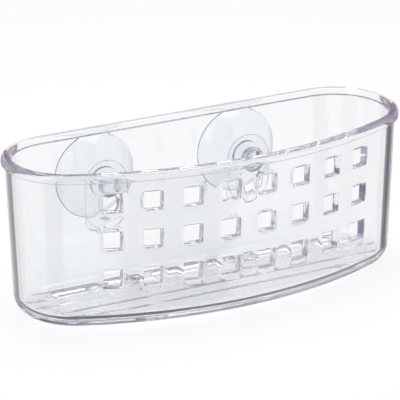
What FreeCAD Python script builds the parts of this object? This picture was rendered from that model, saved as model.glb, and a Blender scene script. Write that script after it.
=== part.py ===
"""Clear sink-side sponge holder: a moulded basket with a bowed, pierced front, and two suction cups.

Millimetres. +X runs along the basket, +Y towards the wall that the cups hold, +Z up.
The origin is under the middle of the part's bounding box, on the surface that the feet stand on.
"""

import FreeCAD, Part
import math
import os

Vector = FreeCAD.Vector

# Overall basket, measured over the rim
basket_length = 174.0
basket_depth = 67.0
basket_height = 67.5
front_bow = 23.6
end_flat = 1.5

# Walls and floor
wall_thickness = 3.0
wall_draft_deg = 2.2
floor_thickness = 4.3
base_round = 8.6
floor_corner_round = 4.0

# Rim: an outward lip with a rounded top
rim_lip = 1.35
rim_band = 3.6
rim_top_round = 2.1
rim_under_round = 0.4

# Square drain windows in the front, spread along the bow. They narrow inwards from the size given here
window_width = 8.3
window_height = 8.0
window_side_taper = 0.75
window_sill_taper = 0.3
window_arc_pitch = 16.3
window_row_pitch = 16.0
window_columns = 8
window_rows = 3
window_top_drop = 12.65
window_turn_share = 0.5
window_corner_round = 0.5

# Floor ribs and drain slots
rib_count = 5
rib_pitch = 8.0
rib_width = 2.0
rib_height = 0.8
rib_round = 0.6
rib_back_gap = 5.9
slot_rows = 1
slot_width = 5.2
slot_end_gap = 9.5
slot_columns = 3
slot_bridge = 7.0

# Feet under the base
foot_height = 0.8
foot_width = 5.0
foot_length = 16.0
foot_margin = 1.0

# Keyholes and their flat pads on the back wall
cup_spread = 33.0
keyhole_top_height = 43.0
keyhole_travel = 10.0
pad_margin = 4.0
pad_proud = 0.5

# Suction cups
cup_radius = 18.0
cup_depth = 10.6
cup_lip_land = 1.0
cup_lip_thickness = 0.8
cup_crown_thickness = 2.2
collar_radius = 6.2
collar_height = 1.3
neck_radius = 3.0
head_radius = 5.2
head_height = 3.4
head_edge = 1.0
tab_length = 6.0
tab_width = 9.0
tab_thickness = 1.2

# Clearances
neck_clearance = 0.3
entry_clearance = 0.4
collar_clearance = 0.3
head_clearance = 0.25
overrun = 5.0

# Shape of the cup's bell: where its two arcs pass, as shares of its radius and depth
bell_outside_radius_share = 0.66
bell_outside_depth_share = 0.34
bell_inside_radius_share = 0.62
bell_inside_depth_share = 0.54
tab_inset_share = 0.3

# How the front arc of each end compares with the back one
front_round_share = 1.13

# Worked out from the sizes above
wall_slope = math.tan(math.radians(wall_draft_deg))
half_length = basket_length / 2
front_radius = (half_length**2 + front_bow**2) / (2 * front_bow)
floor_top = foot_height + floor_thickness
slot_radius = neck_radius + neck_clearance
entry_radius = head_radius + entry_clearance
keyhole_entry_height = keyhole_top_height - keyhole_travel
pad_radius = entry_radius + pad_margin
pad_top = keyhole_top_height + pad_radius
pad_bottom = keyhole_entry_height - pad_radius


def inset_at(height):
    """How far the outside of the wall stands inside the rim's outline at a height."""
    return rim_lip + wall_slope * (basket_height - height)


pad_setback = inset_at(pad_top) - pad_proud
cup_standoff = collar_clearance + cup_depth - pad_setback
total_depth = basket_depth + cup_standoff
rim_front = -total_depth / 2
rim_back = rim_front + basket_depth
pad_face = rim_back - pad_setback
bow_centre = rim_front + front_radius

# Each end is rounded by a front and a back arc with the end's flat between them. These radii are the ones
# that meet the bow, the end and the back without a corner
bow_spare = front_radius - basket_depth + end_flat
bow_reach = (front_radius - half_length) * front_round_share
end_square = front_radius**2 - half_length**2 - bow_spare**2
back_radius = math.sqrt((bow_spare + bow_reach) ** 2 + end_square) - bow_spare - bow_reach
corner_radius = back_radius * front_round_share
corner_x = half_length - corner_radius
back_x = half_length - back_radius
back_centre_y = rim_back - back_radius
corner_y = back_centre_y - end_flat
bow_half_angle = math.atan2(corner_x, bow_centre - corner_y)
base_inset = inset_at(foot_height) + base_round
base_reach = half_length - base_inset
slot_reach = base_reach - slot_end_gap
slot_length = (2 * slot_reach - (slot_columns - 1) * slot_bridge) / slot_columns


def arc(centre_x, centre_y, radius, start, end, height):
    """An arc in a level plane, counter-clockwise between two angles in radians."""
    circle = Part.Circle(Vector(centre_x, centre_y, height), Vector(0, 0, 1), radius)
    return Part.ArcOfCircle(circle, start, end).toShape()


def outline(inset, height):
    """The basket's D-shaped plan, drawn in from the rim's outside by an inset, as a closed wire."""
    quarter = math.pi / 2
    corner = corner_radius - inset
    back = back_radius - inset
    end_x = half_length - inset
    back_y = rim_back - inset
    right_end = Part.makeLine(Vector(end_x, corner_y, height), Vector(end_x, back_centre_y, height))
    left_end = Part.makeLine(Vector(-end_x, back_centre_y, height), Vector(-end_x, corner_y, height))
    back_line = Part.makeLine(Vector(back_x, back_y, height), Vector(-back_x, back_y, height))
    bow_start = -quarter - bow_half_angle
    bow_end = -quarter + bow_half_angle
    edges = [
        arc(0, bow_centre, front_radius - inset, bow_start, bow_end, height),
        arc(corner_x, corner_y, corner, bow_end, 0, height),
        right_end,
        arc(back_x, back_centre_y, back, 0, quarter, height),
        back_line,
        arc(-back_x, back_centre_y, back, quarter, math.pi, height),
        left_end,
        arc(-corner_x, corner_y, corner, math.pi, math.pi + quarter - bow_half_angle, height),
    ]
    return Part.Wire(edges)


def slab(inset, bottom, top):
    """An upright solid of the plan between two heights."""
    face = Part.Face(outline(inset, bottom))
    return face.extrude(Vector(0, 0, top - bottom))


def level_edges(shape, height):
    """The edges of a shape that lie level at a height."""
    near = overrun / 1000
    found = []
    for edge in shape.Edges:
        box = edge.BoundBox
        if abs(box.ZMin - height) < near and abs(box.ZMax - height) < near:
            found.append(edge)
    return found


def tub(extra_inset, bottom, top, base_radius):
    """A solid that flares with the wall's draft and is rounded round its base."""
    low = outline(inset_at(bottom) + extra_inset, bottom)
    high = outline(inset_at(top) + extra_inset, top)
    solid = Part.makeLoft([low, high], True, True)
    return solid.makeFillet(base_radius, level_edges(solid, bottom))


def rim():
    """The lip round the top, before the inside is hollowed."""
    block = slab(0, basket_height - rim_band, basket_height)
    block = block.makeFillet(rim_under_round, level_edges(block, basket_height - rim_band))
    return block.makeFillet(rim_top_round, level_edges(block, basket_height))


def wall_pad(side):
    """The flat pad behind one keyhole, upright although the wall leans."""
    middle = (pad_top + pad_bottom) / 2
    start = rim_back - inset_at(middle) - wall_thickness / 2
    return keyhole_prism(side, pad_radius, pad_radius, start, pad_face)


def keyhole_prism(side, top_radius, entry, start, end):
    """A keyhole's shape, narrow at the top and wide at the entry, run along Y between two places."""
    x = side * cup_spread
    along = Vector(0, 1, 0)
    run = end - start
    upper = Part.makeCylinder(top_radius, run, Vector(x, start, keyhole_top_height), along)
    lower = Part.makeCylinder(entry, run, Vector(x, start, keyhole_entry_height), along)
    corner = Vector(x - top_radius, start, keyhole_entry_height)
    neck = Part.makeBox(2 * top_radius, run, keyhole_travel, corner)
    return upper.fuse([lower, neck]).removeSplitter()


def keyhole(side):
    """The cut through wall and pad that takes one cup's neck and head."""
    start = rim_back - inset_at(0) - wall_thickness - overrun
    return keyhole_prism(side, slot_radius, entry_radius, start, pad_face + overrun)


def window(angle, height):
    """One drain window: a wedge on the wall's outside, turned part of the way that the bow has turned there."""
    turn = angle * window_turn_share
    inset = inset_at(height)
    x = front_radius * math.sin(angle) - inset * math.sin(turn) / math.cos(angle - turn)
    y = bow_centre - math.sqrt((front_radius - inset) ** 2 - x**2)
    outer = -overrun
    inner = wall_thickness + overrun
    wide, inner_wide = [window_width / 2 - window_side_taper * d / wall_thickness for d in (outer, inner)]
    tall, inner_tall = [window_height / 2 - window_sill_taper * d / wall_thickness for d in (outer, inner)]
    low = (-wide, outer, -tall, -inner_tall, -inner_wide)
    high = (wide, inner, tall, inner_tall, inner_wide)
    cut = Part.makeWedge(*low, *high)
    sides = [edge for edge in cut.Edges if abs(edge.tangentAt(edge.FirstParameter).y) > 0.5]
    cut = cut.makeFillet(window_corner_round, sides)
    cut.rotate(Vector(0, 0, 0), Vector(0, 0, 1), math.degrees(turn))
    cut.translate(Vector(x, y, height))
    return cut


def windows():
    """The grid of drain windows."""
    cuts = []
    for row in range(window_rows):
        height = basket_height - window_top_drop - row * window_row_pitch
        for column in range(window_columns):
            along = (column - (window_columns - 1) / 2) * window_arc_pitch
            cuts.append(window(along / front_radius, height))
    return cuts


def rib_place(number):
    """Where a floor rib's middle lies along Y, counted from the back."""
    floor_back = rim_back - inset_at(floor_top) - wall_thickness
    return floor_back - rib_back_gap - number * rib_pitch


def ribs(cavity):
    """Rounded ribs along the floor, trimmed to the inside of the basket."""
    bars = []
    for number in range(rib_count):
        corner = Vector(-half_length, rib_place(number) - rib_width / 2, floor_top - floor_thickness / 2)
        bar = Part.makeBox(basket_length, rib_width, floor_thickness / 2 + rib_height, corner)
        long_top = [e for e in level_edges(bar, floor_top + rib_height) if e.Length > half_length]
        bar = bar.makeFillet(rib_round, long_top)
        bars.append(bar.common(cavity_with_floor(cavity)))
    return bars


def cavity_with_floor(cavity):
    """The inside of the basket with half the floor under it, so that a rib takes root in the floor."""
    root = cavity.copy()
    root.translate(Vector(0, 0, -floor_thickness / 2))
    return cavity.fuse(root)


def slots():
    """Round-ended drain slots along the floor, counted in rows from the back pair of ribs."""
    radius = slot_width / 2
    straight = slot_length - slot_width
    bottom = -overrun
    run = floor_top + overrun + overrun
    cuts = []
    for row in range(slot_rows):
        y = (rib_place(2 * row) + rib_place(2 * row + 1)) / 2
        for column in range(slot_columns):
            x = (column - (slot_columns - 1) / 2) * (slot_length + slot_bridge)
            bar = Part.makeBox(straight, slot_width, run, Vector(x - straight / 2, y - radius, bottom))
            places = [Vector(x + side * straight / 2, y, bottom) for side in (-1, 1)]
            ends = [Part.makeCylinder(radius, run, place) for place in places]
            cuts.append(bar.fuse(ends))
    return cuts


def feet():
    """Four low pads that follow the flat edge of the base: two under the bow, two at the back corners."""
    top = foot_height + floor_thickness / 2
    ring = slab(base_inset, 0, top).cut(slab(base_inset + foot_width, -overrun, top + overrun))
    front_end = base_reach - foot_width - foot_margin / 2
    back_start = slot_reach + foot_margin
    front_run = corner_y - rim_front
    back_run = rim_back - back_centre_y
    back_length = half_length - back_start
    pads = []
    for side in (-1, 1):
        front_left = front_end - foot_length if side > 0 else -front_end
        back_left = back_start if side > 0 else -half_length
        front_box = Part.makeBox(foot_length, front_run, top, Vector(front_left, rim_front, 0))
        back_box = Part.makeBox(back_length, back_run, top, Vector(back_left, back_centre_y, 0))
        pads += [ring.common(front_box), ring.common(back_box)]
    return pads


def basket():
    """The whole clear moulding."""
    outside = tub(0, foot_height, basket_height - rim_band / 2, base_round)
    cavity = tub(wall_thickness, floor_top, basket_height + overrun, floor_corner_round)
    body = outside.fuse([rim()] + [wall_pad(side) for side in (-1, 1)] + feet())
    body = body.cut(cavity)
    inner_top = [e for e in level_edges(body, basket_height) if inside_rim(e)]
    body = body.makeFillet(rim_top_round, inner_top)
    body = body.fuse(ribs(cavity))
    body = body.cut(windows() + slots() + [keyhole(side) for side in (-1, 1)])
    return body.removeSplitter()


def inside_rim(edge):
    """Whether a top edge bounds the mouth and not the rim's outer rounding."""
    box = edge.BoundBox
    mouth_inset = inset_at(basket_height) + wall_thickness
    reach = half_length - mouth_inset
    middle = edge.valueAt((edge.FirstParameter + edge.LastParameter) / 2)
    limit = rim_top_round / 4
    on_back = abs(middle.y - (rim_back - mouth_inset)) < limit
    on_end = abs(abs(middle.x) - reach) < limit
    from_bow = math.hypot(middle.x, middle.y - bow_centre)
    on_bow = abs(from_bow - (front_radius - mouth_inset)) < limit
    from_front = math.hypot(abs(middle.x) - corner_x, middle.y - corner_y)
    on_front_corner = abs(from_front - (corner_radius - mouth_inset)) < limit
    from_back = math.hypot(abs(middle.x) - back_x, middle.y - back_centre_y)
    on_back_corner = abs(from_back - (back_radius - mouth_inset)) < limit
    flat = box.ZLength < limit
    return flat and (on_back or on_end or on_bow or on_front_corner or on_back_corner)


def cup_profile():
    """Half the section of a cup: radius along X, and along Y from the pad's face towards the wall."""
    lowest_inner_face = rim_back - inset_at(keyhole_entry_height - head_radius) - wall_thickness
    head_seat = lowest_inner_face - pad_face - head_clearance
    base = collar_clearance
    lip = base + cup_depth
    crown = base + collar_height + cup_crown_thickness
    head_top = Vector(0, head_seat - head_height, 0)
    head_rim = Vector(head_radius, head_seat - head_edge, 0)
    dome_height = (head_height - head_edge) * math.sin(math.pi / 4)
    dome = Vector(head_radius * math.cos(math.pi / 4), head_seat - head_edge - dome_height, 0)
    outside_depth = base + cup_depth * bell_outside_depth_share
    inside_depth = base + cup_depth * bell_inside_depth_share
    outside_mid = Vector(cup_radius * bell_outside_radius_share, outside_depth, 0)
    inside_mid = Vector(cup_radius * bell_inside_radius_share, inside_depth, 0)
    collar_top = Vector(collar_radius, base + collar_height, 0)
    lip_back = Vector(cup_radius, lip - cup_lip_thickness, 0)
    land = Vector(cup_radius - cup_lip_land, lip, 0)
    corners = [
        head_rim,
        Vector(head_radius, head_seat, 0),
        Vector(neck_radius, head_seat, 0),
        Vector(neck_radius, base, 0),
        Vector(collar_radius, base, 0),
        collar_top,
    ]
    edges = [Part.Arc(head_top, dome, head_rim).toShape()]
    edges += [Part.makeLine(a, b) for a, b in zip(corners, corners[1:])]
    edges.append(Part.Arc(collar_top, outside_mid, lip_back).toShape())
    edges.append(Part.makeLine(lip_back, Vector(cup_radius, lip, 0)))
    edges.append(Part.makeLine(Vector(cup_radius, lip, 0), land))
    edges.append(Part.Arc(land, inside_mid, Vector(0, crown, 0)).toShape())
    edges.append(Part.makeLine(Vector(0, crown, 0), head_top))
    return Part.Face(Part.Wire(edges))


def suction_cup(side):
    """One soft cup: head, neck, collar and bell turned about the neck, with a tab to peel it by."""
    turned = cup_profile().revolve(Vector(0, 0, 0), Vector(0, 1, 0), 360)
    lip = collar_clearance + cup_depth
    tab_back = lip - tab_inset_share * tab_thickness
    reach = cup_radius + tab_length - tab_width / 2
    root = cup_radius - cup_lip_land
    tab_front = tab_back - tab_thickness
    bar = Part.makeBox(tab_width, tab_thickness, reach - root, Vector(-tab_width / 2, tab_front, -reach))
    tip = Part.makeCylinder(tab_width / 2, tab_thickness, Vector(0, tab_front, -reach), Vector(0, 1, 0))
    cup = turned.fuse([bar, tip]).removeSplitter()
    cup.translate(Vector(side * cup_spread, pad_face, keyhole_top_height))
    return cup


def main():
    os.makedirs("parts", exist_ok=True)
    pieces = {
        "basket": basket(),
        "suction_cup_left": suction_cup(-1),
        "suction_cup_right": suction_cup(1),
    }
    for name, shape in pieces.items():
        solids = shape.Solids
        print(name, "solids", len(solids), "valid", shape.isValid(), "volume", round(shape.Volume, 1))
        solid = solids[0] if len(solids) == 1 else Part.makeCompound(solids)
        solid.exportStep(f"parts/{name}.step")


main()
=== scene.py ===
import math

import bmesh
import bpy
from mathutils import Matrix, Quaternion, Vector


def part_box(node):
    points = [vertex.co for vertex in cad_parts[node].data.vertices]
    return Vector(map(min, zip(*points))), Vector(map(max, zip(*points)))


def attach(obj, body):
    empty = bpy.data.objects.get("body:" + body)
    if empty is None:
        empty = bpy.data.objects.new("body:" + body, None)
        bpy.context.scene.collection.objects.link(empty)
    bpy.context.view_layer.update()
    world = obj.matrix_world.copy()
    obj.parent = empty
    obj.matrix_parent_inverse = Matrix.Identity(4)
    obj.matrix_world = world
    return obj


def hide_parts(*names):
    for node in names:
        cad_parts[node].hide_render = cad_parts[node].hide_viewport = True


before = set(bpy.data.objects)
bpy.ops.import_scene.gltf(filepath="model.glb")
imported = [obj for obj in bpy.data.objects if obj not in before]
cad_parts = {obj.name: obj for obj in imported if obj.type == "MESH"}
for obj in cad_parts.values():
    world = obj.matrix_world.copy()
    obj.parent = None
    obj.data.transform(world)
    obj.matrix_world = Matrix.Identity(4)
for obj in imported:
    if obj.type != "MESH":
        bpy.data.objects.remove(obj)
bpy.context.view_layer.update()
scene = bpy.context.scene
scene.view_settings.view_transform = "Standard"
bounces = 128  # light runs a long way inside clear walls
scene.cycles.max_bounces = bounces
scene.cycles.glossy_bounces = bounces
scene.cycles.transmission_bounces = bounces
mm = 0.001  # lengths of the pieces are millimetres in the frame of the solids
quarter = math.pi / 2
print("frame loaded:", sorted(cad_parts))


class Wire:  # a socket that can stand in a sum
    def __init__(self, tree, socket):
        self.tree = tree
        self.socket = socket

    def join(self, operation, left, right):
        node = self.tree.nodes.new("ShaderNodeMath")
        node.operation = operation
        for slot, value in zip(node.inputs, (left, right)):
            if isinstance(value, Wire):
                self.tree.links.new(value.socket, slot)
            else:
                slot.default_value = value
        return Wire(self.tree, node.outputs[0])

    def __add__(self, other):
        return self.join("ADD", self, other)

    def __radd__(self, other):
        return self.join("ADD", other, self)

    def __sub__(self, other):
        return self.join("SUBTRACT", self, other)

    def __rsub__(self, other):
        return self.join("SUBTRACT", other, self)

    def __mul__(self, other):
        return self.join("MULTIPLY", self, other)

    def __rmul__(self, other):
        return self.join("MULTIPLY", other, self)


class Finish:  # the node tree of one material, or of the world
    def __init__(self, owner):
        self.owner = owner
        owner.use_nodes = True
        self.tree = owner.node_tree
        self.tree.nodes.clear()

    def add(self, kind, settings, sockets, output=0):
        node = self.tree.nodes.new("ShaderNode" + kind)
        for key, value in settings.items():
            if key == "stops":
                ramp = node.color_ramp.elements
                while len(ramp) < len(value):
                    ramp.new(0.5)
                for element, (position, colour) in zip(ramp, value):
                    element.position = position
                    element.color = colour
            else:
                setattr(node, key, value)
        for key, value in sockets.items():
            if isinstance(value, Wire):
                self.tree.links.new(value.socket, node.inputs[key])
            else:
                node.inputs[key].default_value = value
        return Wire(self.tree, node.outputs[output]) if len(node.outputs) else node


def grey(value):
    return (value, value, value, 1)


def blend(finish, share, first, second):
    return finish.add("MixShader", {}, {0: share, 1: first, 2: second})


def rays(finish, kind):
    return finish.add("LightPath", {}, {}, kind)


def noise(finish, place, scale, detail, roughness):
    sockets = {"Vector": place, "Scale": scale, "Detail": detail, "Roughness": roughness}
    return finish.add("TexNoise", {}, sockets)


grain = {  # what the surfaces of both plastics share
    "flow": (1.0, 2.0, 0.45),  # scale, detail and roughness of the noise
    "flowShare": 0.65,  # of the bump; ripples make the rest
    "ripple": (1.5, 0.5),  # detail and roughness
    "haze": (5.0, 0.6),
    "hazeStops": (0.45, 0.75),
}


def clearFinish(name, look):  # see-through plastic with flow lines, ripples and a little haze
    finish = Finish(bpy.data.materials.new(name))
    place = finish.add("TexCoord", {}, {}, "Object")
    along = finish.add("VectorMath", {"operation": "MULTIPLY"}, {0: place, 1: look["flowStretch"]})
    flow = noise(finish, along, *grain["flow"])
    ripple = noise(finish, place, look["rippleScale"], *grain["ripple"])
    height = flow * grain["flowShare"] + ripple * (1 - grain["flowShare"])
    bump = {"Strength": look["bump"], "Distance": look["bumpDepth"], "Height": height}
    normal = finish.add("Bump", {}, bump)
    haze = noise(finish, place, look["hazeScale"], *grain["haze"])
    stops = [(position, grey(value)) for value, position in enumerate(grain["hazeStops"])]
    hazeMask = finish.add("ValToRGB", {"stops": stops}, {"Fac": haze})
    roughness = look["gloss"] + hazeMask * look["haze"]
    tints = {"Factor": flow, "A": look["paleTint"], "B": look["deepTint"]}
    tint = finish.add("Mix", {"data_type": "RGBA"}, tints, "Result")
    body = finish.add(
        "BsdfPrincipled",
        {},
        {
            "Base Color": tint,
            "Roughness": roughness,
            "Normal": normal,
            "Transmission Weight": 1.0,
            "IOR": look["ior"],
        },
    )
    through = finish.add("BsdfTransparent", {}, {"Color": look["shadowTint"]})
    surface = blend(finish, rays(finish, "Is Shadow Ray"), body, through)
    inside = {"Color": look["depthTint"], "Density": look["depthDensity"]}
    depth = finish.add("VolumeAbsorption", {}, inside)
    finish.add("OutputMaterial", {}, {"Surface": surface, "Volume": depth})
    return finish.owner


def newPiece(name, bm, finish=None):
    bmesh.ops.recalc_face_normals(bm, faces=bm.faces)
    mesh = bpy.data.meshes.new(name)
    bm.to_mesh(mesh)
    bm.free()
    piece = bpy.data.objects.new(name, mesh)
    scene.collection.objects.link(piece)
    if finish:
        mesh.materials.append(finish)
    return piece


def skin(bm, near, far, holes=()):  # faces between two closed rings
    for k in range(len(near)):
        n = (k + 1) % len(near)
        if k not in holes:
            bm.faces.new((near[k], near[n], far[n], far[k]))


def loft(bm, rings):  # a closed skin over rings with equal point counts
    rows = [[bm.verts.new(Vector(point) * mm) for point in ring] for ring in rings]
    for near, far in zip(rows, rows[1:]):
        skin(bm, near, far)
    bm.faces.new(rows[0][::-1])
    bm.faces.new(rows[-1])


def mould(piece, added, cut, smoothBelow):  # joins and pierces a body, and keeps the result
    for tool, how in ((added, "UNION"), (cut, "DIFFERENCE")):
        if tool:
            step = piece.modifiers.new(how, "BOOLEAN")
            step.operation = how
            step.object = tool
            step.solver = "EXACT"
    view = bpy.context.evaluated_depsgraph_get()
    made = bpy.data.meshes.new_from_object(piece.evaluated_get(view))
    piece.modifiers.clear()
    made.name = piece.name
    piece.data = made
    for tool in (added, cut):
        if tool:
            bpy.data.objects.remove(tool)
    made.shade_smooth()
    made.set_sharp_from_angle(angle=math.radians(smoothBelow))


def sweep(start, end, steps):
    return [start + (end - start) * k / steps for k in range(steps + 1)]


def arcPoints(centre, radius, start, end, steps):  # angles in degrees
    turns = [math.radians(angle) for angle in sweep(start, end, steps)]
    return [(centre[0] + radius * math.cos(t), centre[1] + radius * math.sin(t)) for t in turns]


def threePointArc(a, b, c, steps):
    ax, ay, bx, by, cx, cy = *a, *b, *c
    d = 2 * (ax * (by - cy) + bx * (cy - ay) + cx * (ay - by))
    aa, bb, cc = ax * ax + ay * ay, bx * bx + by * by, cx * cx + cy * cy
    ux = (aa * (by - cy) + bb * (cy - ay) + cc * (ay - by)) / d
    uy = (aa * (cx - bx) + bb * (ax - cx) + cc * (bx - ax)) / d
    start, mid, end = [math.degrees(math.atan2(y - uy, x - ux)) for x, y in (a, b, c)]
    if not min(start, end) <= mid <= max(start, end):
        end += 360 if end < start else -360
    return arcPoints((ux, uy), math.hypot(ax - ux, ay - uy), start, end, steps)


def eased(points, sizes, steps):  # rounds the corners of an open line by the given cut-backs
    line = [points[0]]
    for before, corner, after, size in zip(points, points[1:], points[2:], sizes):
        p, q, r = Vector(before), Vector(corner), Vector(after)
        start = q + (p - q).normalized() * size
        end = q + (r - q).normalized() * size
        for t in sweep(0, 1, steps):
            line.append(tuple(start * (1 - t) ** 2 + q * 2 * t * (1 - t) + end * t * t))
    return line + [points[-1]]


# basket: one clear moulding, wound round the plan of the rim

basket = {
    "length": 174.0,
    "depth": 67.0,
    "height": 67.5,
    "bow": 23.6,
    "endFlat": 1.5,
    "frontRound": 1.13,  # front arc of an end over its back arc
    "wall": 3.0,
    "draft": 2.2,
    "floor": 4.3,
    "baseRound": 8.6,
    "floorRound": 4.0,
    "lip": 1.35,
    "band": 3.6,
    "topRound": 2.1,
    "underRound": 0.4,
    "windowWidth": 8.3,  # outside
    "windowHeight": 8.0,
    "arcPitch": 16.3,  # along the bow
    "rowPitch": 16.0,
    "columns": 8,
    "rows": 3,
    "topDrop": 12.65,
    "sideTaper": 0.75,  # how much narrower a window is inside, each way
    "sillTaper": 0.3,
    "turnShare": 0.5,  # how far a window turns with the bow
    "edgeRound": 0.2,
    "foot": 0.8,
    "footRoot": 0.9,  # how far a foot runs up into the floor
    "footWidth": 5.0,
    "footLength": 16.0,
    "footMargin": 1.0,
    "ribs": 5,
    "ribPitch": 8.0,
    "ribWidth": 2.0,
    "ribHeight": 0.8,
    "ribRoot": 0.2,  # how far a rib runs down into the floor
    "ribRound": 0.6,
    "ribInset": 7.3,  # its ends, in from the rim's outline
    "ribBackGap": 5.9,
    "slotRows": 1,
    "slotWidth": 5.2,
    "slotColumns": 3,
    "slotBridge": 7.0,
    "slotEndGap": 9.5,
    "slotCut": (2.0, 0.6),  # how far the cut runs below the feet and above the floor
    "keyholeX": 33.0,
    "keyholeTop": 43.0,
    "keyholeTravel": 10.0,
    "keyholeCut": (14.0, 3.0),  # how far it runs in from the rim's back and out from the pad
    "slotRadius": 3.3,
    "entryRadius": 5.6,
    "padMargin": 4.0,
    "padProud": 0.5,
    "padRound": 0.45,
    "cells": 4,  # mesh cells across a window and across the wall between two
    "edgeSteps": 2,  # and the steps of the mesh along each curve
    "endFrontSteps": 18,
    "endBackSteps": 22,
    "backSteps": 8,
    "floorSteps": 9,
    "rimSteps": 7,
    "underSteps": 3,
    "baseSteps": 12,
    "ribSteps": 4,
    "frontFootSteps": 16,
    "backFootSteps": 12,
    "slotSteps": 16,
    "topSteps": 24,
    "entrySteps": 40,
    "padSteps": 3,
    "smoothBelow": 32,  # degrees between two faces
    "look": {
        "flowStretch": (60, 60, 7),
        "rippleScale": 34.0,
        "bump": 0.2,
        "bumpDepth": 0.0006,
        "hazeScale": 26.0,
        "gloss": 0.015,
        "haze": 0.05,
        "paleTint": (0.962, 0.975, 0.973, 1),
        "deepTint": (0.942, 0.96, 0.957, 1),
        "ior": 1.57,
        "shadowTint": (0.9, 0.9, 0.92, 1),
        "depthTint": (0.3, 0.13, 0.4, 1),
        "depthDensity": 4.5,
    },
}

lean = math.radians(basket["draft"])
slope = math.tan(lean)
half = basket["length"] / 2
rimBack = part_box("basket")[1][1] / mm
rimFront = rimBack - basket["depth"]
bowRadius = (half**2 + basket["bow"] ** 2) / (2 * basket["bow"])
bowY = rimFront + bowRadius
# each end has two arcs, which meet the bow, the flat of the end and the back without a corner
spare = bowRadius - basket["depth"] + basket["endFlat"]
reach = (bowRadius - half) * basket["frontRound"]
backRadius = math.sqrt((spare + reach) ** 2 + bowRadius**2 - half**2 - spare**2) - spare - reach
frontRadius = backRadius * basket["frontRound"]
frontX = half - frontRadius
backX = half - backRadius
backY = rimBack - backRadius
frontY = backY - basket["endFlat"]
bowAngle = math.degrees(math.atan2(frontX, bowY - frontY))
floorTop = basket["foot"] + basket["floor"]


def insetAt(z):  # outside of the wall, in from the rim's outline
    return basket["lip"] + slope * (basket["height"] - z)


def bowEnd(inset):
    return (bowRadius - inset) * math.sin(math.radians(bowAngle))


def bowLine(x, inset):
    return bowY - math.sqrt((bowRadius - inset) ** 2 - x * x)


def frontLine(x, inset):
    if abs(x) <= bowEnd(inset):
        return bowLine(x, inset)
    return frontY - math.sqrt(max((frontRadius - inset) ** 2 - (abs(x) - frontX) ** 2, 0))


def backLine(x, inset):
    beyond = max(abs(x) - backX, 0)
    return backY + math.sqrt(max((backRadius - inset) ** 2 - beyond**2, 0))


def endLine(y, inset):
    if y >= backY:
        return backX + math.sqrt(max((backRadius - inset) ** 2 - (y - backY) ** 2, 0))
    if y >= frontY:
        return half - inset
    onBow = math.sqrt(max((bowRadius - inset) ** 2 - (bowY - y) ** 2, 0))
    below = (frontRadius - inset) ** 2 - (frontY - y) ** 2
    if below > 0 and onBow > frontX + math.sqrt(below):
        return frontX + math.sqrt(below)
    return onBow


def columnStops():  # along the bow, with a line on each window's sides
    b = basket
    stops = []
    for column in range(b["columns"]):
        left = (column - (b["columns"] - 1) / 2) * b["arcPitch"] - b["windowWidth"] / 2
        stops += sweep(left, left + b["windowWidth"], b["cells"])
        stops += sweep(left + b["windowWidth"], left + b["arcPitch"], b["cells"])[1:-1]
    return stops[: 1 - b["cells"]]


def turnedX(along, inset):  # a window's side runs inwards at its own turn
    angle = along / bowRadius
    turn = angle * basket["turnShare"]
    return bowRadius * math.sin(angle) - inset * math.sin(turn) / math.cos(angle - turn)


def planRing(inset):  # the plan's points, the same count for any inset
    b = basket
    across = [turnedX(along, inset) for along in columnStops()]
    side = sweep(across[-1], bowEnd(inset), b["cells"])[1:]
    across = [-x for x in side[::-1]] + across + side
    points = [(x, bowLine(x, inset)) for x in across]
    front, back = frontRadius - inset, backRadius - inset
    points += arcPoints((frontX, frontY), front, bowAngle - 90, 0, b["endFrontSteps"])[1:]
    points += arcPoints((backX, backY), back, 0, 90, b["endBackSteps"])
    points += [(x, backY + back) for x in sweep(backX, -backX, b["backSteps"])[1:-1]]
    points += arcPoints((-backX, backY), back, 90, 180, b["endBackSteps"])
    points += arcPoints((-frontX, frontY), front, 180, 270 - bowAngle, b["endFrontSteps"])[:-1]
    return points


def wallHeights(start, end):  # heights with a loop on each window's sill and head
    b = basket
    stops = [start]
    for row in reversed(range(b["rows"])):
        middle = b["height"] - b["topDrop"] - row * b["rowPitch"]
        stops += [middle - b["windowHeight"] / 2, middle + b["windowHeight"] / 2]
    stops.append(end)
    heights = [start]
    for low, high in zip(stops, stops[1:]):
        heights += sweep(low, high, b["cells"])[1:]
    return heights


def basketSection():  # from the floor's edge up the inside, over the rim and down the outside
    b = basket
    inner = b["floorRound"]
    low = floorTop + inner
    mid = insetAt(low) + b["wall"] + inner / math.cos(lean)
    fillet = [
        (mid - inner * math.sin(t), low - inner * math.cos(t))
        for t in sweep(0, quarter - lean, b["floorSteps"])
    ]
    top, rise = b["topRound"], b["height"] - b["topRound"]
    hub = insetAt(rise) + b["wall"] - top / math.cos(lean)
    insideRim = [
        (hub + top * math.cos(t), rise + top * math.sin(t)) for t in sweep(lean, quarter, b["rimSteps"])
    ]
    outsideRim = [
        (top - top * math.sin(t), rise + top * math.cos(t)) for t in sweep(0, quarter, b["rimSteps"])
    ]
    under, sill = b["underRound"], b["height"] - b["band"]
    underRim = [
        (under - under * math.cos(t), sill + under - under * math.sin(t))
        for t in sweep(0, quarter, b["underSteps"])
    ]
    foot = b["foot"] + b["baseRound"]
    base = insetAt(foot) + b["baseRound"] / math.cos(lean)
    heel = [
        (base - b["baseRound"] * math.cos(t), foot - b["baseRound"] * math.sin(t))
        for t in sweep(lean, quarter, b["baseSteps"])
    ]
    inside = [(insetAt(z) + b["wall"], z) for z in wallHeights(fillet[-1][1], insideRim[0][1])]
    outside = [(insetAt(z), z) for z in wallHeights(heel[0][1], sill)][::-1]
    rows = fillet + inside[1:-1] + insideRim + outsideRim + underRim + outside[:-1] + heel
    firstInside = len(fillet) - 1
    lastOutside = len(rows) - len(heel)
    return rows, firstInside, lastOutside


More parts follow.
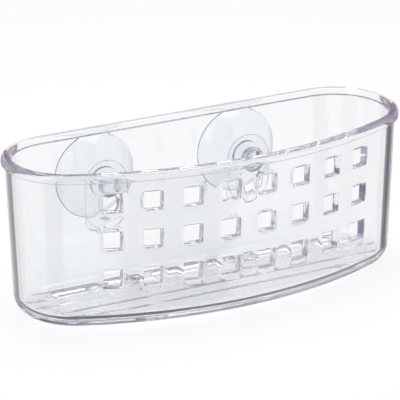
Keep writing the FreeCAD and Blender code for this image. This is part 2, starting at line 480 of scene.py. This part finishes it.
def windowStarts():  # each window's first line along the plan and first loop up the wall
    cells = basket["cells"]
    starts = []
    for row in range(basket["rows"]):
        for column in range(basket["columns"]):
            starts.append((cells * (1 + 2 * column), cells * (1 + 2 * row)))
    return starts


def wallGrid():
    b, cells = basket, basket["cells"]
    bm = bmesh.new()
    rows, firstInside, lastOutside = basketSection()
    grid = []
    for inset, z in rows:
        grid.append([bm.verts.new(Vector((x, y, z)) * mm) for x, y in planRing(inset)])
    holes = [set() for ring in grid]
    for left, low in windowStarts():
        for k in range(low, low + cells):
            for row in (firstInside + k, lastOutside - k - 1):
                holes[row].update(range(left, left + cells))
    for near, far, gaps in zip(grid, grid[1:], holes):
        skin(bm, near, far, gaps)
    bm.faces.new(grid[0][::-1])
    bm.faces.new(grid[-1])
    eases = set()
    for left, low in windowStarts():
        right, high = left + cells, low + cells
        loop = [(left + k, low) for k in range(cells)] + [(right, low + k) for k in range(cells)]
        loop += [(right - k, high) for k in range(cells)] + [(left, high - k) for k in range(cells)]
        inner = [grid[firstInside + k][j] for j, k in loop]
        outer = [grid[lastOutside - k][j] for j, k in loop]
        for (j, k), vert in zip(loop, inner):
            x = vert.co.x / mm + b["sideTaper"] * ((j == left) - (j == right))
            z = vert.co.z / mm + b["sillTaper"] * ((k == low) - (k == high))
            vert.co = Vector((x, bowLine(x, insetAt(z) + b["wall"]), z)) * mm
        skin(bm, inner, outer)
        for ring in (inner, outer):
            eases.update(bm.edges.get((ring[k - 1], ring[k])) for k in range(len(ring)))
        corners = range(0, len(loop), cells)
        eases.update(bm.edges.get((inner[k], outer[k])) for k in corners)
    bmesh.ops.recalc_face_normals(bm, faces=bm.faces)
    bmesh.ops.bevel(
        bm,
        geom=list(eases),
        offset=b["edgeRound"] * mm,
        segments=b["edgeSteps"],
        profile=0.5,  # a round one
        affect="EDGES",
        clamp_overlap=True,
    )
    return bm


def ribY(number):
    floorBack = rimBack - insetAt(floorTop) - basket["wall"]
    return floorBack - basket["ribBackGap"] - number * basket["ribPitch"]


def addRibs(bm):
    b = basket
    wide, ease = b["ribWidth"] / 2, b["ribRound"]
    root, top = floorTop - b["ribRoot"], floorTop + b["ribHeight"]
    cap = [(-wide, root), (-wide, floorTop)]
    cap += arcPoints((-wide + ease, top - ease), ease, 180, 90, b["ribSteps"])
    cap += arcPoints((wide - ease, top - ease), ease, 90, 0, b["ribSteps"])
    cap += [(wide, floorTop), (wide, root)]
    for number in range(b["ribs"]):
        y = ribY(number)
        ends = []
        for side in (-1, 1):
            ends.append([(side * endLine(y + v, b["ribInset"]), y + v, z) for v, z in cap])
        loft(bm, ends)


def addFeet(bm):
    b = basket
    edge = insetAt(b["foot"]) + b["baseRound"]
    inner = edge + b["footWidth"]
    end = half - edge - b["footWidth"] - b["footMargin"] / 2
    xs = sweep(end - b["footLength"], end, b["frontFootSteps"])
    front = [(x, frontLine(x, edge)) for x in xs] + [(x, frontLine(x, inner)) for x in xs[::-1]]
    start = half - edge - b["slotEndGap"] + b["footMargin"]
    outside = sweep(start, half - edge, b["backFootSteps"])
    inside = sweep(half - inner, start, b["backFootSteps"])
    back = [(x, backLine(x, edge)) for x in outside] + [(x, backLine(x, inner)) for x in inside]
    for side in (-1, 1):
        for outline in (front, back):
            levels = (0, b["foot"] + b["footRoot"])
            loft(bm, [[(side * x, y, z) for x, y in outline] for z in levels])


def keyholeLine(topRadius, entryRadius):  # (x, z) about the seated neck
    travel = basket["keyholeTravel"]
    mouth = math.degrees(math.acos(min(topRadius / entryRadius, 1)))
    line = arcPoints((0, 0), topRadius, 0, 180, basket["topSteps"])
    return line + arcPoints((0, -travel), entryRadius, 180 - mouth, 360 + mouth, basket["entrySteps"])


def atKeyhole(side, y, outline):
    x, z = side * basket["keyholeX"], basket["keyholeTop"]
    return [(x + u, y, z + v) for u, v in outline]


padTop = basket["keyholeTop"] + basket["entryRadius"] + basket["padMargin"]
padFace = rimBack - insetAt(padTop) + basket["padProud"]


def addPads(bm):
    b = basket
    radius, ease = b["entryRadius"] + b["padMargin"], b["padRound"]
    start = rimBack - insetAt(padTop - radius - b["keyholeTravel"] / 2) - b["wall"] / 2
    levels = [(start, 0), (padFace - ease, 0)]
    for t in sweep(0, quarter, b["padSteps"])[1:]:
        levels.append((padFace - ease * (1 - math.sin(t)), ease * (1 - math.cos(t))))
    for side in (-1, 1):
        rings = []
        for y, less in levels:
            rings.append(atKeyhole(side, y, keyholeLine(radius - less, radius - less)))
        loft(bm, rings)


def cutKeyholes(bm):
    outline = keyholeLine(basket["slotRadius"], basket["entryRadius"])
    inwards, outwards = basket["keyholeCut"]
    for side in (-1, 1):
        loft(bm, [atKeyhole(side, y, outline) for y in (rimBack - inwards, padFace + outwards)])


def cutSlots(bm):
    b = basket
    edge = insetAt(b["foot"]) + b["baseRound"]
    run = 2 * (half - edge - b["slotEndGap"])
    length = (run - (b["slotColumns"] - 1) * b["slotBridge"]) / b["slotColumns"]
    radius, straight = b["slotWidth"] / 2, length - b["slotWidth"]
    outline = arcPoints((straight / 2, 0), radius, -90, 90, b["slotSteps"])
    outline += arcPoints((-straight / 2, 0), radius, 90, 270, b["slotSteps"])
    below, above = b["slotCut"]
    for row in range(b["slotRows"]):
        y = (ribY(2 * row) + ribY(2 * row + 1)) / 2
        for column in range(b["slotColumns"]):
            x = (column - (b["slotColumns"] - 1) / 2) * (length + b["slotBridge"])
            loft(bm, [[(x + u, y + v, z) for u, v in outline] for z in (-below, floorTop + above)])


basketFinish = clearFinish("clearPolystyrene", basket["look"])
basketShell = newPiece("basketShell", wallGrid(), basketFinish)
addBm, cutBm = bmesh.new(), bmesh.new()
addRibs(addBm)
addFeet(addBm)
addPads(addBm)
cutSlots(cutBm)
cutKeyholes(cutBm)
adds, cuts = newPiece("basketAdds", addBm), newPiece("basketCuts", cutBm)
mould(basketShell, adds, cuts, basket["smoothBelow"])
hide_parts("basket")
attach(basketShell, "holder")
print("basket:", len(basketShell.data.polygons), "faces")


# suction cups: soft, turned about the neck

cup = {
    "radius": 18.0,
    "depth": 10.6,
    "land": 1.0,
    "lip": 0.8,
    "lipRound": 0.3,
    "crown": 2.2,
    "bellAt": (0.66, 0.34),  # a point on its outside, as shares of radius and depth
    "hollowAt": (0.62, 0.54),  # and one inside
    "collar": 6.2,
    "collarHeight": 1.3,
    "neck": 3.0,
    "head": 5.2,
    "headHeight": 3.4,
    "headEdge": 1.0,
    "shankRounds": (0.45, 0.35, 0.3, 0.35),  # from the head down to the collar
    "tabLength": 6.0,
    "tabWidth": 9.0,
    "tabThick": 1.2,
    "tabRound": 0.35,
    "tabSetIn": 0.3,  # behind the lip, as a share of its thickness
    "tabRoot": 0.8,  # how much of the land it covers
    "gap": 0.3,
    "headGap": 0.25,
    "turns": 96,  # steps of the mesh round the neck and along each curve
    "bellSteps": 26,
    "hollowSteps": 28,
    "headSteps": 12,
    "roundSteps": 3,
    "tabSteps": 24,
    "smoothBelow": 40,  # degrees between two faces
    "look": {
        "flowStretch": (40, 40, 40),
        "rippleScale": 90.0,
        "bump": 0.12,
        "bumpDepth": 0.0004,
        "hazeScale": 60.0,
        "gloss": 0.06,
        "haze": 0.1,
        "paleTint": (0.985, 0.99, 1.0, 1),
        "deepTint": (0.93, 0.945, 0.97, 1),
        "ior": 1.52,
        "shadowTint": (0.85, 0.87, 0.9, 1),
        "depthTint": (0.72, 0.78, 0.86, 1),
        "depthDensity": 60.0,
    },
}


def cupSection():  # (radius, way from the pad's face towards the wall)
    c = cup
    entry = basket["keyholeTop"] - basket["keyholeTravel"] - c["head"]
    seat = rimBack - insetAt(entry) - basket["wall"] - padFace - c["headGap"]
    base, lip = c["gap"], c["gap"] + c["depth"]
    top = (0, seat - c["headHeight"])
    dome, eighth = c["headHeight"] - c["headEdge"], math.pi / 4
    bulge = (c["head"] * math.cos(eighth), seat - c["headEdge"] - dome * math.sin(eighth))
    headRim, collarRim = (c["head"], seat - c["headEdge"]), (c["collar"], base + c["collarHeight"])
    corners = [(c["head"], seat), (c["neck"], seat), (c["neck"], base), (c["collar"], base)]
    shank = eased([headRim, *corners, collarRim], c["shankRounds"], c["roundSteps"])
    bellMid = (c["radius"] * c["bellAt"][0], base + c["depth"] * c["bellAt"][1])
    bell = threePointArc(collarRim, bellMid, (c["radius"], lip - c["lip"]), c["bellSteps"])
    land = (c["radius"] - c["land"], lip)
    edge = eased([bell[-1], (c["radius"], lip), land], [c["lipRound"]], c["roundSteps"])
    hollowMid = (c["radius"] * c["hollowAt"][0], base + c["depth"] * c["hollowAt"][1])
    crown = (0, base + c["collarHeight"] + c["crown"])
    hollow = threePointArc(land, hollowMid, crown, c["hollowSteps"])
    head = threePointArc(top, bulge, headRim, c["headSteps"])
    return head[:-1] + shank + bell[1:] + edge[1:-1] + hollow


def cupBody(side):
    bm = bmesh.new()
    line = cupSection()
    centre = Vector((side * basket["keyholeX"], padFace, basket["keyholeTop"]))
    poles = [bm.verts.new((centre + Vector((0, line[k][1], 0))) * mm) for k in (0, -1)]
    turns = sweep(0, 2 * math.pi, cup["turns"])[:-1]
    rings = []
    for radius, y in line[1:-1]:
        points = [Vector((radius * math.cos(t), y, radius * math.sin(t))) for t in turns]
        rings.append([bm.verts.new((centre + point) * mm) for point in points])
    for near, far in zip(rings, rings[1:]):
        skin(bm, near, far)
    for pole, ring in zip(poles, (rings[0], rings[-1])):
        for k in range(len(ring)):
            bm.faces.new((pole, ring[k], ring[(k + 1) % len(ring)]))
    return bm


def cupTab(side):
    c = cup
    bm = bmesh.new()
    back = c["gap"] + c["depth"] - c["tabSetIn"] * c["tabThick"]
    front = back - c["tabThick"]
    wide, ease = c["tabWidth"] / 2, c["tabRound"]
    far = c["radius"] + c["tabLength"] - wide
    root = c["radius"] - c["land"] * c["tabRoot"]
    rings = []
    for y, less in ((front, ease), (front + ease, 0), (back - ease, 0), (back, ease)):
        outline = arcPoints((0, -far), wide - less, 180, 360, c["tabSteps"])
        outline += [(wide - less, -root), (-wide + less, -root)]
        rings.append(atKeyhole(side, padFace + y, outline))
    loft(bm, rings)
    return bm


cupFinish = clearFinish("clearSoftVinyl", cup["look"])
for side, node, body in ((-1, "suction_cup_left", "left_cup"), (1, "suction_cup_right", "right_cup")):
    label = "suctionCupLeft" if side < 0 else "suctionCupRight"
    softCup = newPiece(label, cupBody(side), cupFinish)
    mould(softCup, newPiece("tab", cupTab(side)), None, cup["smoothBelow"])
    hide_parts(node)
    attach(softCup, body)
    print(label, len(softCup.data.polygons), "faces")


# studio: pale floor, soft overhead light, a dimmer room round it that draws the clear edges

studio = {
    "floor": (0.97, 0.97, 0.97, 1),
    "floorWhite": 0.4,  # how far the floor is lifted to white where it is seen
    "floorRadius": 2.5,  # in metres, as are all lengths here
    "floorSides": 64,
    "floorDrop": 0.00005,
    "sweep": (0.3, 0.6),  # where the white floor ends for rays through the plastic
    "sky": (0.76, 0.76, 0.78, 1),
    "band": (0.24, 0.22, 0.27, 1),  # round the room, below the sky
    "skyFrom": (0.4, 0.8),  # the rise of a ray, from band to sky
    "ahead": (0.469, 0.883, 0),  # the photograph's heading, for what reflections show
    "field": (1, 1, 1, 1),  # ahead of it and behind it,
    "leftCard": (0.32, 0.31, 0.33, 1),  # on a grey and
    "rightCard": (0.15, 0.14, 0.165, 1),  # a dark card beside that,
    "cardsFrom": (0.975, 0.93),  # by the cosine off the heading
    "cardsMeet": (-0.1, 0.1),
    "under": (0.16, 0.16, 0.157, 1),  # further down, a painted shadow: the dark floor under the holder, shown in reflections,
    "shadowBelowFrom": (-0.42, -0.62),
    "room": (0.94, 0.93, 0.95, 1),  # further round,
    "roomFrom": (0.68, 0.56),
    "backdrop": (0.42, 0.41, 0.43, 1),  # and from the level up, ahead
    "horizon": (0.78, 0.79, 0.78, 1),  # and beside that
    "levelFrom": (-0.16, -0.06),
    "aim": (0, 0, 0.03),
    "overhead": {"place": (0.1, 0.15, 0.9), "size": (0.9, 0.7), "power": 4.4},
    "leftFill": {"place": (-0.8, -0.35, 0.55), "size": (0.35, 0.6), "power": 1.4},
}


def seenRays(finish):  # 1 for rays that show the background, straight or by way of the plastic
    seen = rays(finish, "Is Camera Ray")
    for kind in ("Is Glossy Ray", "Is Transmission Ray"):
        seen = finish.add("Math", {"operation": "MAXIMUM"}, {0: seen, 1: rays(finish, kind)})
    return seen


def mirrored(finish):  # 1 once a ray has been reflected, outside or within the plastic
    return finish.add("Math", {"operation": "MINIMUM"}, {0: rays(finish, "Glossy Depth"), 1: 1.0})


def smooth(finish, value, span):
    sockets = {"Value": value, "From Min": span[0], "From Max": span[1]}
    return finish.add("MapRange", {"interpolation_type": "SMOOTHSTEP"}, sockets)


def floorFinish():
    finish = Finish(bpy.data.materials.new("paleFloor"))
    card = finish.add("BsdfDiffuse", {}, {"Color": studio["floor"]})
    white = finish.add("Emission", {}, {"Color": grey(1), "Strength": 1.0})
    dim = finish.add("Emission", {}, {"Color": studio["band"], "Strength": 1.0})
    place = finish.add("TexCoord", {}, {}, "Object")
    away = finish.add("VectorMath", {"operation": "LENGTH"}, {0: place}, "Value")
    past = smooth(finish, away, studio["sweep"]) * rays(finish, "Is Transmission Ray")
    shown = blend(finish, seenRays(finish) * studio["floorWhite"], card, white)
    shown = blend(finish, past, shown, dim)
    gone = finish.add("BsdfTransparent", {}, {"Color": grey(1)})
    surface = blend(finish, mirrored(finish), shown, gone)
    finish.add("OutputMaterial", {}, {"Surface": surface})
    return finish.owner


def makeFloor():
    bm = bmesh.new()
    outline = arcPoints((0, 0), studio["floorRadius"], 0, 360, studio["floorSides"])[:-1]
    bm.faces.new([bm.verts.new((x, y, 0)) for x, y in outline])
    floor = newPiece("floor", bm, floorFinish())
    floor.location.z = -studio["floorDrop"]


def makeSky():
    world = bpy.data.worlds.new("studioSky")
    scene.world = world
    finish = Finish(world)

    def shade(key):
        return finish.add("Background", {}, {"Color": studio[key], "Strength": 1.0})

    def turned(direction):  # the cosine between a level heading and a direction
        product = {0: heading, 1: direction}
        return finish.add("VectorMath", {"operation": "DOT_PRODUCT"}, product, "Value")

    way = finish.add("TexCoord", {}, {}, "Generated")
    up = finish.add("SeparateXYZ", {}, {"Vector": way}, "Z")
    high = smooth(finish, up, studio["skyFrom"])
    sky, field = shade("sky"), shade("field")
    plain = blend(finish, high, shade("band"), sky)
    plain = blend(finish, rays(finish, "Is Camera Ray"), plain, field)
    flat = finish.add("VectorMath", {"operation": "MULTIPLY"}, {0: way, 1: (1, 1, 0)})
    heading = finish.add("VectorMath", {"operation": "NORMALIZE"}, {0: flat})
    x, y, z = studio["ahead"]
    along = finish.add("Math", {"operation": "ABSOLUTE"}, {0: turned((x, y, z))})
    aside = turned((y, -x, z))
    beside = smooth(finish, along, studio["cardsFrom"])
    meet = smooth(finish, aside, studio["cardsMeet"])
    ring = blend(finish, beside, field, blend(finish, meet, shade("leftCard"), shade("rightCard")))
    # painted shadow: reflections heading steeply down show a dark floor under the holder
    ring = blend(finish, smooth(finish, up, studio["shadowBelowFrom"]), ring, shade("under"))
    ring = blend(finish, smooth(finish, along, studio["roomFrom"]), ring, shade("room"))
    level = blend(finish, beside, shade("backdrop"), shade("horizon"))
    ring = blend(finish, smooth(finish, up, studio["levelFrom"]), ring, level)
    ring = blend(finish, high, ring, sky)
    surface = blend(finish, mirrored(finish), plain, ring)
    finish.add("OutputWorld", {}, {"Surface": surface})


def softBox(name):
    box = studio[name]
    lamp = bpy.data.lights.new(name, "AREA")
    lamp.shape = "RECTANGLE"
    lamp.size, lamp.size_y = box["size"]
    lamp.energy = box["power"]
    holder = bpy.data.objects.new(name, lamp)
    scene.collection.objects.link(holder)
    holder.location = box["place"]
    holder.rotation_mode = "QUATERNION"
    way = Vector(studio["aim"]) - Vector(box["place"])
    holder.rotation_quaternion = way.to_track_quat("-Z", "Y")


makeFloor()
makeSky()
softBox("overhead")
softBox("leftFill")
print("studio set")


# camera: fitted to the photograph's rim, windows and base line

shot = {
    "target": (-5.69, -33.295, 40.26),  # from the rim's back line and the base
    "azimuth": -27.978,
    "elevation": 20.288,
    "roll": -0.345,
    "distance": 1277.8,
    "focal": 3169.0,  # in pixels of a frame this wide:
    "pixels": 400,
    "sensor": 36.0,
    "clip": (0.05, 20),
}


def makeCamera():
    lens = bpy.data.cameras.new("shot")
    lens.sensor_width = shot["sensor"]
    lens.sensor_fit = "HORIZONTAL"
    lens.lens = shot["focal"] / shot["pixels"] * shot["sensor"]
    lens.clip_start, lens.clip_end = shot["clip"]
    camera = bpy.data.objects.new("shot", lens)
    scene.collection.objects.link(camera)
    scene.camera = camera
    around, above = math.radians(shot["azimuth"]), math.radians(shot["elevation"])
    level = math.cos(above)
    back = Vector((math.sin(around) * level, -math.cos(around) * level, math.sin(above)))
    x, y, z = shot["target"]
    camera.location = (Vector((x, y + rimBack, z)) + back * shot["distance"]) * mm
    camera.rotation_mode = "QUATERNION"
    roll = Quaternion((0, 0, 1), math.radians(shot["roll"]))
    camera.rotation_quaternion = (-back).to_track_quat("-Z", "Y") @ roll


makeCamera()
